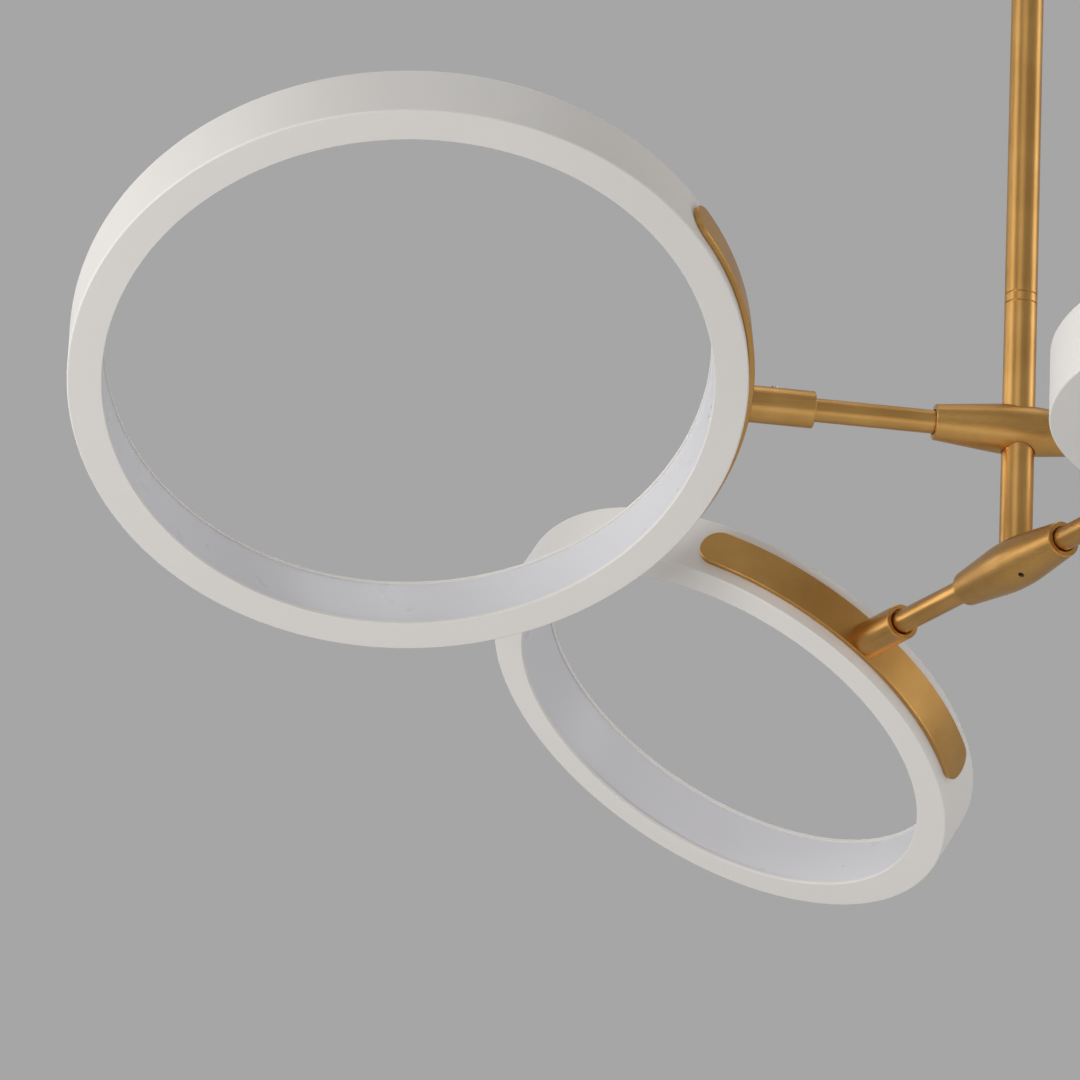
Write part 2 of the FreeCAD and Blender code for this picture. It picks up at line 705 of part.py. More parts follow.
def make_swivel_washer():
    body = start_body("swivel_washer")
    turn_round(body, [
        (neck_radius + fit_gap, 0),
        (washer_radius, 0),
        (washer_radius, washer_wall),
        (neck_radius + fit_gap, washer_wall),
    ])
    put(body, height=canopy_floor + canopy_wall + hair_gap)


def make_swivel_nut():
    body = document.addObject("Part::Prism", "swivel_nut_block")
    body.Polygon = 6
    bind(body, "Circumradius", nut_width / 2)
    bind(body, "Height", nut_height)
    hole = rod_between("swivel_nut_hole", neck_radius + fit_gap, 0, nut_height, Placement())
    nut = document.addObject("Part::Cut", "swivel_nut")
    nut.Label = "swivel_nut"
    nut.Base = body
    nut.Tool = hole
    document.recompute()
    put(nut, height=canopy_floor + canopy_wall + hair_gap + washer_wall)


def make_swivel_tongue():
    """The stem's top end. Its own origin is the pivot."""
    body = start_body("swivel_tongue")
    top = -head_radius - base_gap
    turn_round(body, [
        (0, top - tongue_base - spigot_length),
        (tube_bore - fit_gap, top - tongue_base - spigot_length),
        (tube_bore - fit_gap, top - tongue_base),
        (tube_radius, top - tongue_base),
        (tube_radius, top),
        (0, top),
    ])
    web = start_sketch(body, "YZ_Plane")
    web_half = root_of(tube_radius * tube_radius - tongue_width * tongue_width / 4)
    outline(web, [
        (-web_half, top - tongue_base / 2),
        (web_half, top - tongue_base / 2),
        (web_half, 0),
        (-web_half, 0),
    ])
    raise_up(body, web, tongue_width, both_ways=True)
    eye = start_sketch(body, "YZ_Plane")
    circle(eye, 0, 0, tongue_round)
    raise_up(body, eye, tongue_width, both_ways=True)
    bore = start_sketch(body, "XY_Plane")
    circle(bore, 0, 0, lead_bore)
    cut_away(body, bore, (head_radius + tongue_base + spigot_length) * 3, both_ways=True)
    for turn in (0, 180):
        drill(body, 0, pivot_radius + fit_gap, tongue_width, turn=turn)
    put(body, height=pivot_height)


def make_pivot_screws():
    """One from each side, so that the leads pass between them."""
    screws = []
    shank = head_radius - pivot_head_wall - hair_gap - lead_bore - free_gap
    start = Placement(Vector(0, 0, pivot_height.value), Rotation())
    for turn in (0, 180):
        body = start_body(f"pivot_screw_{turn}")
        turn_round(body, [
            (0, 0),
            (pivot_radius, 0),
            (pivot_radius, shank),
            (pivot_head_radius, shank),
            (pivot_head_radius, shank + pivot_head_wall),
            (0, shank + pivot_head_wall),
        ])
        out = Placement(Vector(0, 0, (lead_bore + free_gap).value), Rotation())
        body.Placement = start * square_out(0, turn) * out
        screws.append(body)
    group("pivot_screws", screws)


# ---------------------------------------------------------------- stem

def make_top_rod():
    body = start_body("top_rod")
    tube = turn_round(body, [
        (tube_bore, 0),
        (tube_radius, 0),
        (tube_radius, top_rod_length),
        (tube_bore, top_rod_length),
    ])
    ends = ring_edges(tube, (tube_radius, 0), (tube_radius, top_rod_length))
    ease(body, tube, ends, tube_chamfer, kind="Chamfer")
    put(body, height=coupler_top)


def make_coupler():
    """The band between the stem's tubes, with a spigot up and a spigot down."""
    body = start_body("stem_coupler")
    whole = coupler_height + spigot_length
    band = turn_round(body, [
        (lead_bore, -spigot_length),
        (tube_bore - fit_gap, -spigot_length),
        (tube_bore - fit_gap, 0),
        (tube_radius, 0),
        (tube_radius, coupler_height),
        (tube_bore - fit_gap, coupler_height),
        (tube_bore - fit_gap, whole),
        (lead_bore, whole),
    ])
    ends = ring_edges(band, (tube_radius, 0), (tube_radius, coupler_height))
    ease(body, band, ends, tube_chamfer, kind="Chamfer")
    put(body, height=hub_tube_top)


def make_hub_tube():
    """One tube through the upper hub and into the lower one. Its own origin is the upper
    hub's middle."""
    body = start_body("hub_tube")
    low = tube_socket - hub_spacing
    groove = tube_screw_rise - hub_spacing
    tube = turn_round(body, [
        (tube_bore, low),
        (tube_radius, low),
        (tube_radius, groove - groove_half_width),
        (tube_radius - groove_depth, groove - groove_half_width),
        (tube_radius - groove_depth, groove + groove_half_width),
        (tube_radius, groove + groove_half_width),
        (tube_radius, coupler_rise),
        (tube_bore, coupler_rise),
    ])
    ease(body, tube, ring_edges(tube, (tube_radius, coupler_rise)), tube_chamfer, kind="Chamfer")
    window = start_sketch(body, "YZ_Plane")
    circle(window, 0, 0, window_radius)
    cut_away(body, window, tube_radius * 3, both_ways=True)
    put(body, height=upper_hub_height)


def make_stem_lead():
    low = lower_hub_height + arm_lead_radius + free_gap
    top = pivot_height - hair_gap * 10
    lead = rod_between("stem_lead", stem_lead_radius, low, top - low, Placement())
    lead.Label = "stem_lead"
    document.recompute()
    put(lead)


# ---------------------------------------------------------------- hubs

def barrel_radius(along):
    """The hub's radius on its cone, at this distance from the stem axis."""
    slope = (hub_apex_radius - hub_end_radius) / hub_half_length
    return hub_apex_radius - slope * along


def make_hub(label, placement, through):
    """A barrel along its own Z, with +X up. The stem's bore goes right through the upper
    hub, and into the lower one from above."""
    body = start_body(label)
    barrel = turn_round(body, [
        (0, -hub_half_length),
        (hub_end_radius, -hub_half_length),
        (hub_apex_radius, 0),
        (hub_end_radius, hub_half_length),
        (0, hub_half_length),
    ])
    belly = ease(body, barrel, ring_edges(barrel, (hub_apex_radius, 0)), hub_belly_round)
    ends = ring_edges(belly, (hub_end_radius, -hub_half_length),
                      (hub_end_radius, hub_half_length))
    ease(body, belly, ends, hub_edge, kind="Chamfer")
    bore = rod_radius + fit_gap
    floor = hub_half_length - hub_mouth
    for side in (-1, 1):
        turn_round(body, [
            (0, 0),
            (bore, 0),
            (bore, floor * side),
            (mouth_radius, floor * side),
            (mouth_radius, hub_half_length * side),
            (0, hub_half_length * side),
        ], cut=True)
    stem = tube_radius + fit_gap
    low = -hub_apex_radius if through else tube_socket - hair_gap
    bored = turn_round(body, [
        (low, 0),
        (hub_apex_radius, 0),
        (hub_apex_radius, stem),
        (low, stem),
    ], axis="H_Axis", cut=True)

    def round_stem(edge):
        points = [edge.valueAt(edge.FirstParameter + edge.ParameterRange[1] * part / 4)
                  for part in (0, 1, 2, 3)]
        on_bore = all(abs(math.hypot(point.y, point.z) - stem.value) < 1e-3 for point in points)
        return on_bore and abs(points[0].x) > stem.value and edge.Length > stem.value

    ease(body, bored, edges_of(bored, round_stem), hub_edge, kind="Chamfer")
    for side in (-1, 1):
        drill(body, rod_screw_offset * side, set_screw_radius + fit_gap, hub_apex_radius,
              turn=rod_turn(through) * side)
    return body


def rod_turn(through):
    """The rods' set screws are on top of the upper hub and under the lower one."""
    return 180 - rod_screw_turn if through else rod_screw_turn


def make_hub_screws(label, hub_frame, through):
    """One set screw on each rod and one on the stem. The last is square to the arms. The
    lower hub's runs in the tube's groove, so that the hub can turn."""
    screws = []
    rod_tip = rod_radius + hair_gap
    rod_length = barrel_radius(rod_screw_offset) - set_screw_sink - rod_tip
    for side in (-1, 1):
        out = square_out(rod_screw_offset * side, rod_turn(through) * side)
        lift = Placement(Vector(0, 0, rod_tip.value), Rotation())
        name = f"{label}_{side + 2}"
        screws.append(socket_screw(name, set_screw_radius, rod_length, hub_frame * out * lift))
    surface = root_of(hub_apex_radius * hub_apex_radius - tube_screw_rise * tube_screw_rise)
    stem_stop = tube_radius + hair_gap - (0 if through else groove_depth)
    stem_length = surface - set_screw_sink * 2 - stem_stop
    turn = Placement(Vector(tube_screw_rise.value, 0, 0), Rotation(Vector(1, 0, 0), -90))
    lift = Placement(Vector(0, 0, stem_stop.value), Rotation())
    screws.append(socket_screw(f"{label}_stem", set_screw_radius, stem_length,
                               hub_frame * turn * lift))
    group(label, screws)


def stem_screw_hole(body):
    """The hole for the set screw on the stem, out along the hub's own Y."""
    sketch = start_sketch(body, "XZ_Plane")
    circle(sketch, tube_screw_rise, 0, set_screw_radius + fit_gap)
    cut_away(body, sketch, hub_apex_radius)


# ---------------------------------------------------------------- arms

def make_arm_rod(side, arm_frame):
    body = start_body(f"{side}_arm_rod")
    start = tube_radius + free_gap * 2
    end = arm_reach - rod_inset
    groove = arm_reach - collar_screw_inset
    reach = collar_screw_radius + hair_gap
    rod = turn_round(body, [
        (rod_bore, start),
        (rod_radius, start),
        (rod_radius, groove - reach),
        (rod_radius - rod_groove, groove - reach),
        (rod_radius - rod_groove, groove + reach),
        (rod_radius, groove + reach),
        (rod_radius, end),
        (rod_bore, end),
    ])
    ends = ring_edges(rod, (rod_radius, start), (rod_radius, end))
    ease(body, rod, ends, tube_chamfer, kind="Chamfer")
    put(body, arm_frame)


def make_arm_lead(side, arm_frame, start, ring_radius):
    end = bolt_head_seat(ring_radius) + bolt_head_wall + free_gap * 3
    lead = rod_between(f"{side}_arm_lead", arm_lead_radius, start, end - start, arm_frame)
    lead.Label = f"{side}_arm_lead"
    document.recompute()
    put(lead)


def make_collar(side, arm_frame, ring_radius):
    """A sleeve that turns on the rod. Its base is hollowed to sit on the curved plate."""
    body = start_body(f"{side}_ring_collar")
    mouth = arm_reach - collar_length
    bore_end = arm_reach - rod_inset + free_gap
    sleeve = turn_round(body, [
        (mouth_radius, mouth),
        (collar_radius, mouth),
        (collar_radius, arm_reach),
        (bolt_radius + fit_gap, arm_reach),
        (bolt_radius + fit_gap, bore_end),
        (rod_radius + fit_gap, bore_end),
        (rod_radius + fit_gap, mouth + collar_mouth),
        (mouth_radius, mouth + collar_mouth),
    ])
    lips = ring_edges(sleeve, (collar_radius, mouth), (mouth_radius, mouth))
    ease(body, sleeve, lips, tube_chamfer, kind="Chamfer")
    saddle = start_sketch(body, "YZ_Plane")
    circle(saddle, 0, arm_reach + ring_radius, ring_radius + plate_wall)
    cut_away(body, saddle, collar_radius * 3, both_ways=True)
    drill(body, arm_reach - collar_screw_inset, collar_screw_radius + fit_gap, collar_radius * 2,
          turn=collar_screw_turn)
    put(body, arm_frame)


def make_collar_screw(side, arm_frame):
    """Holds the ring on the rod: its tip rides in the rod's groove."""
    tip = rod_radius - rod_groove + hair_gap
    length = collar_radius + collar_screw_proud - tip
    out = square_out(arm_reach - collar_screw_inset, collar_screw_turn)
    lift = Placement(Vector(0, 0, tip.value), Rotation())
    screw = socket_screw(f"{side}_collar_screw", collar_screw_radius, length,
                         arm_frame * out * lift)
    screw.Label = f"{side}_collar_screw"
    document.recompute()
    put(screw)


def bolt_head_seat(ring_radius):
    """Where the flat head meets the curved inside of the channel, from the stem axis."""
    inside = ring_radius - band_wall
    rise = inside - root_of(inside * inside - bolt_head_radius * bolt_head_radius)
    return arm_reach + band_wall + rise + fit_gap


def make_ring_bolt(side, arm_frame, ring_radius):
    """A hollow bolt from inside the channel, through channel and plate, into the collar."""
    body = start_body(f"{side}_ring_bolt")
    seat = bolt_head_seat(ring_radius)
    tip = arm_reach - rod_inset + free_gap * 2
    turn_round(body, [
        (bolt_bore, tip),
        (bolt_radius, tip),
        (bolt_radius, seat),
        (bolt_head_radius, seat),
        (bolt_head_radius, seat + bolt_head_wall),
        (bolt_bore, seat + bolt_head_wall),
    ])
    put(body, arm_frame)


# ---------------------------------------------------------------- rings
# A ring's own origin is its middle, +Z is out of its front face and +X is away from the stem.

def make_housing(side, ring_frame, ring_radius):
    """A channel, open inwards, with a groove in each flange for the diffuser's edge."""
    body = start_body(f"{side}_ring_housing")
    inner = ring_radius - ring_depth
    step = half_width - flange_wall
    deep = step + diffuser_groove
    near = inner + diffuser_recess - diffuser_play
    far = inner + diffuser_recess + diffuser_wall + diffuser_play
    wall = ring_radius - band_wall
    front = [
        (inner, half_width), (inner, step), (near, step), (near, deep), (far, deep),
        (far, step), (wall, step),
    ]
    back = [(radius, -height) for radius, height in reversed(front)]
    corners = [(ring_radius, -half_width), (ring_radius, half_width)]
    channel = turn_round(body, corners + front + back)
    outer = ring_edges(channel, (ring_radius, half_width), (ring_radius, -half_width))
    rounded = ease(body, channel, outer, outer_round)
    lips = ring_edges(rounded, (inner, half_width), (inner, -half_width))
    ease(body, rounded, lips, inner_round)
    hole = start_sketch(body, "YZ_Plane")
    circle(hole, 0, 0, bolt_radius + fit_gap)
    cut_away(body, hole, ring_radius * 1.1)
    put(body, ring_frame)


def make_diffuser(side, ring_frame, ring_radius):
    """An opal strip bent round into the flanges' grooves, with a fine seam at its ends."""
    body = start_body(f"{side}_ring_diffuser")
    inner = ring_radius - ring_depth + diffuser_recess
    reach = half_width - flange_wall + diffuser_groove - diffuser_play
    turn_round(body, [
        (inner, -reach),
        (inner + diffuser_wall, -reach),
        (inner + diffuser_wall, reach),
        (inner, reach),
    ])
    seam = start_sketch(body, "XY_Plane")
    outline(seam, [
        (0, -diffuser_seam / 2),
        (ring_radius, -diffuser_seam / 2),
        (ring_radius, diffuser_seam / 2),
        (0, diffuser_seam / 2),
    ])
    cut_away(body, seam, ring_width * 2, both_ways=True)
    put(body, ring_frame * Placement(Vector(0, 0, 0), Rotation(UP, SEAM_TURN)))


def make_led_strip(side, ring_frame, ring_radius):
    """Taped to the inside of the outer wall, and left open at the hollow bolt."""
    body = start_body(f"{side}_led_strip")
    outer = ring_radius - band_wall - strip_tape
    turn_round(body, [
        (outer - strip_wall, -strip_width / 2),
        (outer, -strip_width / 2),
        (outer, strip_width / 2),
        (outer - strip_wall, strip_width / 2),
    ], angle=360 - strip_gap * 2)
    put(body, ring_frame)


def make_plate(side, ring_frame, ring_radius):
    """A curved brass plate with rounded ends on the outer band, where the arm meets it."""
    body = start_body(f"{side}_ring_plate")
    inner = ring_radius + fit_gap
    outer = ring_radius + plate_wall
    strap = turn_round(body, [
        (inner, -plate_width / 2),
        (outer, -plate_width / 2),
        (outer, plate_width / 2),
        (inner, plate_width / 2),
    ], angle=plate_half_angle * 2)

    def across_wall(edge):
        straight = isinstance(edge.Curve, Part.Line)
        return straight and abs(edge.Length - (outer - inner).value) < 1e-4

    rounded = ease(body, strap, edges_of(strap, across_wall), plate_corner)

    def outside(edge):
        middle = edge.valueAt((edge.FirstParameter + edge.LastParameter) / 2)
        return abs(math.hypot(middle.x, middle.y) - outer.value) < 1e-4

    ease(body, rounded, edges_of(rounded, outside), plate_edge)
    hole = start_sketch(body, "YZ_Plane")
    circle(hole, 0, 0, bolt_radius + fit_gap)
    cut_away(body, hole, ring_radius * 1.1, along_normal=True)
    put(body, ring_frame * Placement(Vector(0, 0, 0), Rotation(UP, 180)))


# ---------------------------------------------------------------- assembly

make_mounting_plate()
make_canopy()
make_canopy_studs()
make_cap_nuts()
make_driver()
make_driver_screws()
make_terminal_block()
make_earth_screw()
make_driver_lead()
make_swivel_head()
make_swivel_washer()
make_swivel_nut()
make_swivel_tongue()
make_pivot_screws()
make_top_rod()
make_coupler()
make_hub_tube()
make_stem_lead()

# side of the hub, arm direction about +Z, tilt of the ring's face about the arm, hub height,
# ring radius, and where the arm's lead starts
lead_beside_stem = stem_lead_radius + free_gap
rear_angle = lower_arm_angle.value
arms = [
    ("left", 180.0, FACING_TILT, upper_hub_height, large_radius, lead_beside_stem),
    ("right", 0.0, EVEN_TILT, upper_hub_height, large_radius, lead_beside_stem),
    ("rear", rear_angle, FACING_TILT, lower_hub_height, small_radius, free_gap / 2),
    ("front", rear_angle + 180.0, EVEN_TILT, lower_hub_height, small_radius, free_gap / 2),
]

for hub, angle, height, through in (("upper_hub", 180.0, upper_hub_height, True),
                                    ("lower_hub", rear_angle, lower_hub_height, False)):
    along = Vector(math.cos(math.radians(angle)), math.sin(math.radians(angle)), 0)
    hub_frame = frame_along(Vector(0, 0, height.value), along, UP)
    barrel = make_hub(hub, hub_frame, through)
    stem_screw_hole(barrel)
    put(barrel, hub_frame)
    make_hub_screws(f"{hub}_screws", hub_frame, through)

for side, angle, tilt, height, ring_radius, lead_start in arms:
    turn, lean = math.radians(angle), math.radians(tilt)
    along = Vector(math.cos(turn), math.sin(turn), 0)
    across = Vector(-math.sin(turn), math.cos(turn), 0)
    facing = across * math.cos(lean) + UP * math.sin(lean)
    arm_frame = frame_along(Vector(0, 0, height.value), along, facing)
    middle = along * (arm_reach + ring_radius).value + Vector(0, 0, height.value)
    ring_frame = frame_along(middle, facing, along)
    make_arm_rod(side, arm_frame)
    make_arm_lead(side, arm_frame, lead_start, ring_radius)
    make_collar(side, arm_frame, ring_radius)
    make_collar_screw(side, arm_frame)
    make_ring_bolt(side, arm_frame, ring_radius)
    make_housing(side, ring_frame, ring_radius)
    make_diffuser(side, ring_frame, ring_radius)
    make_led_strip(side, ring_frame, ring_radius)
    make_plate(side, ring_frame, ring_radius)

document.recompute()


# ---------------------------------------------------------------- checks and files

for thing in document.Objects:
    if "Invalid" in thing.State or "Error" in thing.State:
        raise ValueError(f"{thing.Label} is left in state {thing.State}")
for thing in sub_parts:
    if thing.Shape.isNull() or not thing.Shape.isValid():
        raise ValueError(f"{thing.Label} has no valid shape")
    if not thing.Shape.Solids:
        raise ValueError(f"{thing.Label} has no solid")
for thing in sub_parts:
    thing.Shape.exportStep(f"parts/{thing.Label}.step")
    print(f"{thing.Label}: {len(thing.Shape.Solids)} solid, {thing.Shape.Volume / 1000:.2f} cm3")
print(len(sub_parts), "sub-parts")
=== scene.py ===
import json
import math
import bpy
from mathutils import Matrix, Vector


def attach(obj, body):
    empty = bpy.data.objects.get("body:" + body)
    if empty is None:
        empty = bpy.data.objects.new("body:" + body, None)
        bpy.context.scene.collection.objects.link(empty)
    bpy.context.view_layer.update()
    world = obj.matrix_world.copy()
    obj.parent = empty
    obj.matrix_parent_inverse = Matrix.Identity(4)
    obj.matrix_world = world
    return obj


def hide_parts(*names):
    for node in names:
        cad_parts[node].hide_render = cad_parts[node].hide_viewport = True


# A ring chandelier: satin brass stem and hubs, white ring channels, opal diffusers.
# Lengths in the dictionaries are in millimetres, and mm turns them into metres. A fineness is
# a noise's scale, so a larger number is finer.

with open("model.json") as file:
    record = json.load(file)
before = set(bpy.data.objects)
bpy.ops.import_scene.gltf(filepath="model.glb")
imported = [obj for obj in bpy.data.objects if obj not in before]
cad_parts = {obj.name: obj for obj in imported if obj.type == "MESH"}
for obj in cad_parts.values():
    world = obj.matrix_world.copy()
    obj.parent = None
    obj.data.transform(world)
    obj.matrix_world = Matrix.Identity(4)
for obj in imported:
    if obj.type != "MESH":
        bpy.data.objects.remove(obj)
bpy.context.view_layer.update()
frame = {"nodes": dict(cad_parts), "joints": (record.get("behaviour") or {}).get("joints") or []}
nodes = frame["nodes"]
mm = 0.001
print("frame loaded:", len(nodes), "nodes")


# how the rings hang: tilt is how far above level a ring's front faces, in degrees
joints = {joint["name"]: joint for joint in frame["joints"]}
ringSides = {
    "left": {"radius": 162, "tilt": -60},
    "right": {"radius": 162, "tilt": -90},
    "rear": {"radius": 132, "tilt": -60},
    "front": {"radius": 132, "tilt": -90},
}
armReach = 135  # stem axis to a ring's outer band


def armDirection(side):
    return Vector(joints[f"{side}_ring_swivel"]["axis"]).normalized()


def ringMatrix(side):
    # a ring's own Z is out of its front face, and its X points away from the stem
    along = armDirection(side)
    lean = math.radians(ringSides[side]["tilt"])
    across = Vector((-along.y, along.x, 0))
    facing = across * math.cos(lean) + Vector((0, 0, math.sin(lean)))
    middle = Vector(joints[f"{side}_ring_swivel"]["pos_m"])
    middle += along * (armReach + ringSides[side]["radius"]) * mm
    turned = Matrix((along, facing.cross(along), facing)).transposed().to_4x4()
    return Matrix.Translation(middle) @ turned


# these are used by several pieces
def nothingSelected():
    if bpy.context.mode != "OBJECT":
        bpy.ops.object.mode_set(mode="OBJECT")
    bpy.ops.object.select_all(action="DESELECT")


def selectOnly(piece):
    nothingSelected()
    piece.select_set(True)
    bpy.context.view_layer.objects.active = piece


def roundCorner(before, corner, after, radius, steps=4):
    # points of an arc that rounds one corner of a flat outline
    toBefore = (before - corner).normalized()
    toAfter = (after - corner).normalized()
    half = toBefore.angle(toAfter) / 2
    start = corner + toBefore * radius / math.tan(half)
    end = corner + toAfter * radius / math.tan(half)
    middle = corner + (toBefore + toAfter).normalized() * radius / math.sin(half)
    arc = []
    for step in range(steps + 1):
        point = (start - middle).lerp(end - middle, step / steps).normalized() * radius
        arc.append(middle + point)
    return arc


def roundedOutline(corners):
    # corners are (radius, height) or (radius, height, rounding), in order round the section
    points = []
    count = len(corners)
    for index, corner in enumerate(corners):
        here = Vector(corner[:2])
        if len(corner) == 2:
            points.append(here)
            continue
        before = Vector(corners[index - 1][:2])
        after = Vector(corners[(index + 1) % count][:2])
        points += roundCorner(before, here, after, corner[2])
    return points + points[:1]


def closeUp(near=0.002):
    # in edit mode: joins what meets and turns the faces outwards
    bpy.ops.mesh.select_all(action="SELECT")
    bpy.ops.mesh.remove_doubles(threshold=near * mm)
    bpy.ops.mesh.normals_make_consistent(inside=False)
    bpy.ops.object.mode_set(mode="OBJECT")


def lathe(name, outline, sides):
    # one circle, extruded and resized from point to point of a closed outline in millimetres
    nothingSelected()
    first = outline[0]
    bpy.ops.mesh.primitive_circle_add(vertices=sides, radius=first.x * mm)
    piece = bpy.context.object
    piece.name = name
    bpy.ops.object.mode_set(mode="EDIT")
    bpy.ops.mesh.select_all(action="SELECT")
    bpy.ops.transform.translate(value=(0, 0, first.y * mm))
    for here, there in zip(outline, outline[1:]):
        rise = (there.y - here.y) * mm
        bpy.ops.mesh.extrude_edges_move(TRANSFORM_OT_translate={"value": (0, 0, rise)})
        growth = there.x / here.x
        bpy.ops.transform.resize(value=(growth, growth, 1), center_override=(0, 0, 0))
    closeUp()
    return piece


def smoothPiece(piece, angle=32):
    selectOnly(piece)
    bpy.ops.object.shade_smooth_by_angle(angle=math.radians(angle))
    weighted = piece.modifiers.new("flatFaces", "WEIGHTED_NORMAL")
    weighted.keep_sharp = True
    bpy.ops.object.modifier_apply(modifier=weighted.name)


def settle(piece, matrix, body, node, material):
    # puts the piece in place in its mesh, and joins it to the frame
    selectOnly(piece)
    piece.matrix_world = matrix
    bpy.ops.object.transform_apply(location=True, rotation=True, scale=True)
    piece.data.materials.clear()
    piece.data.materials.append(material)
    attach(piece, body)
    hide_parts(node)


# shader groups that the finishes share
def newGroup(name, inputs, outputs):
    group = bpy.data.node_groups.new(name, "ShaderNodeTree")
    for label, kind, value in inputs:
        socket = group.interface.new_socket(label, in_out="INPUT", socket_type=kind)
        socket.default_value = value
    for label, kind in outputs:
        group.interface.new_socket(label, in_out="OUTPUT", socket_type=kind)
    return group, group.nodes.new("NodeGroupInput"), group.nodes.new("NodeGroupOutput")


def mathNode(tree, operation, first, second):
    node = tree.nodes.new("ShaderNodeMath")
    node.operation = operation
    for socket, value in zip(node.inputs, (first, second)):
        if isinstance(value, (int, float)):
            socket.default_value = value
        else:
            tree.links.new(value, socket)
    return node.outputs[0]


def makeBrushedGroup():
    # fine brushing that runs along a direction: noise stretched that way on the object's own
    # coordinates. Streak is 0 to 1 over the surface, and Cloud varies slowly.
    group, given, result = newGroup("brushedMetal", [
        ("Direction", "NodeSocketVector", (0, 0, 1)),
        ("Fineness", "NodeSocketFloat", 2600.0),
        ("Stretch", "NodeSocketFloat", 0.03),
    ], [("Streak", "NodeSocketFloat"), ("Cloud", "NodeSocketFloat")])
    links = group.links
    place = group.nodes.new("ShaderNodeTexCoord").outputs["Object"]
    along = group.nodes.new("ShaderNodeVectorMath")
    along.operation = "DOT_PRODUCT"
    links.new(place, along.inputs[0])
    links.new(given.outputs["Direction"], along.inputs[1])
    taken = mathNode(group, "SUBTRACT", 1.0, given.outputs["Stretch"])
    back = mathNode(group, "MULTIPLY", along.outputs["Value"], taken)
    slide = group.nodes.new("ShaderNodeVectorMath")
    slide.operation = "SCALE"
    links.new(given.outputs["Direction"], slide.inputs[0])
    links.new(back, slide.inputs["Scale"])
    squeezed = group.nodes.new("ShaderNodeVectorMath")
    squeezed.operation = "SUBTRACT"
    links.new(place, squeezed.inputs[0])
    links.new(slide.outputs[0], squeezed.inputs[1])
    streak = group.nodes.new("ShaderNodeTexNoise")
    streak.inputs["Detail"].default_value = 3.0
    streak.inputs["Roughness"].default_value = 0.6
    links.new(squeezed.outputs[0], streak.inputs["Vector"])
    links.new(given.outputs["Fineness"], streak.inputs["Scale"])
    links.new(streak.outputs[0], result.inputs["Streak"])
    cloud = group.nodes.new("ShaderNodeTexNoise")
    cloud.inputs["Scale"].default_value = 38.0
    cloud.inputs["Detail"].default_value = 4.0
    links.new(place, cloud.inputs["Vector"])
    links.new(cloud.outputs[0], result.inputs["Cloud"])
    return group


def makeSpeckGroup():
    # the fine unevenness of sprayed paint and moulded plastic, with a slow change of tone
    group, given, result = newGroup("fineSurface", [
        ("Fineness", "NodeSocketFloat", 1400.0),
    ], [("Grain", "NodeSocketFloat"), ("Tone", "NodeSocketFloat")])
    place = group.nodes.new("ShaderNodeTexCoord").outputs["Object"]
    grain = group.nodes.new("ShaderNodeTexNoise")
    grain.inputs["Detail"].default_value = 2.0
    group.links.new(place, grain.inputs["Vector"])
    group.links.new(given.outputs["Fineness"], grain.inputs["Scale"])
    tone = group.nodes.new("ShaderNodeTexNoise")
    tone.inputs["Scale"].default_value = 14.0
    tone.inputs["Detail"].default_value = 3.0
    group.links.new(place, tone.inputs["Vector"])
    group.links.new(grain.outputs[0], result.inputs["Grain"])
    group.links.new(tone.outputs[0], result.inputs["Tone"])
    return group


brushedGroup = makeBrushedGroup()
speckGroup = makeSpeckGroup()


def newMaterial(name, roughness, metallic=0.0):
    material = bpy.data.materials.new(name)
    material.use_nodes = True
    shader = material.node_tree.nodes["Principled BSDF"]
    shader.inputs["Roughness"].default_value = roughness
    shader.inputs["Metallic"].default_value = metallic
    return material, material.node_tree, shader


def placeGroup(tree, group):
    node = tree.nodes.new("ShaderNodeGroup")
    node.node_tree = group
    return node


def mixColours(tree, mask, low, high):
    mix = tree.nodes.new("ShaderNodeMix")
    mix.data_type = "RGBA"
    tree.links.new(mask, mix.inputs["Factor"])
    mix.inputs["A"].default_value = (*low, 1)
    mix.inputs["B"].default_value = (*high, 1)
    return mix.outputs["Result"]


def spread(tree, value, low, high, reach=0.2):
    # low to high over the part of a noise that lies within reach of its middle
    ramp = tree.nodes.new("ShaderNodeMapRange")
    ramp.inputs["From Min"].default_value = 0.5 - reach
    ramp.inputs["From Max"].default_value = 0.5 + reach
    ramp.inputs["To Min"].default_value = low
    ramp.inputs["To Max"].default_value = high
    tree.links.new(value, ramp.inputs["Value"])
    return ramp.outputs["Result"]


def addBump(tree, shader, height, distance):
    bump = tree.nodes.new("ShaderNodeBump")
    bump.inputs["Distance"].default_value = distance * mm
    tree.links.new(height, bump.inputs["Height"])
    tree.links.new(bump.outputs["Normal"], shader.inputs["Normal"])


brassLook = {
    "dark": (0.47, 0.25, 0.07),
    "light": (0.65, 0.372, 0.12),
    "smooth": 0.30,
    "rough": 0.41,
    "fineness": 2600.0,
    "stretch": 0.02,
    "groove": 0.012,
    "streakShare": 0.4,
    "cloudShare": 0.6,
}


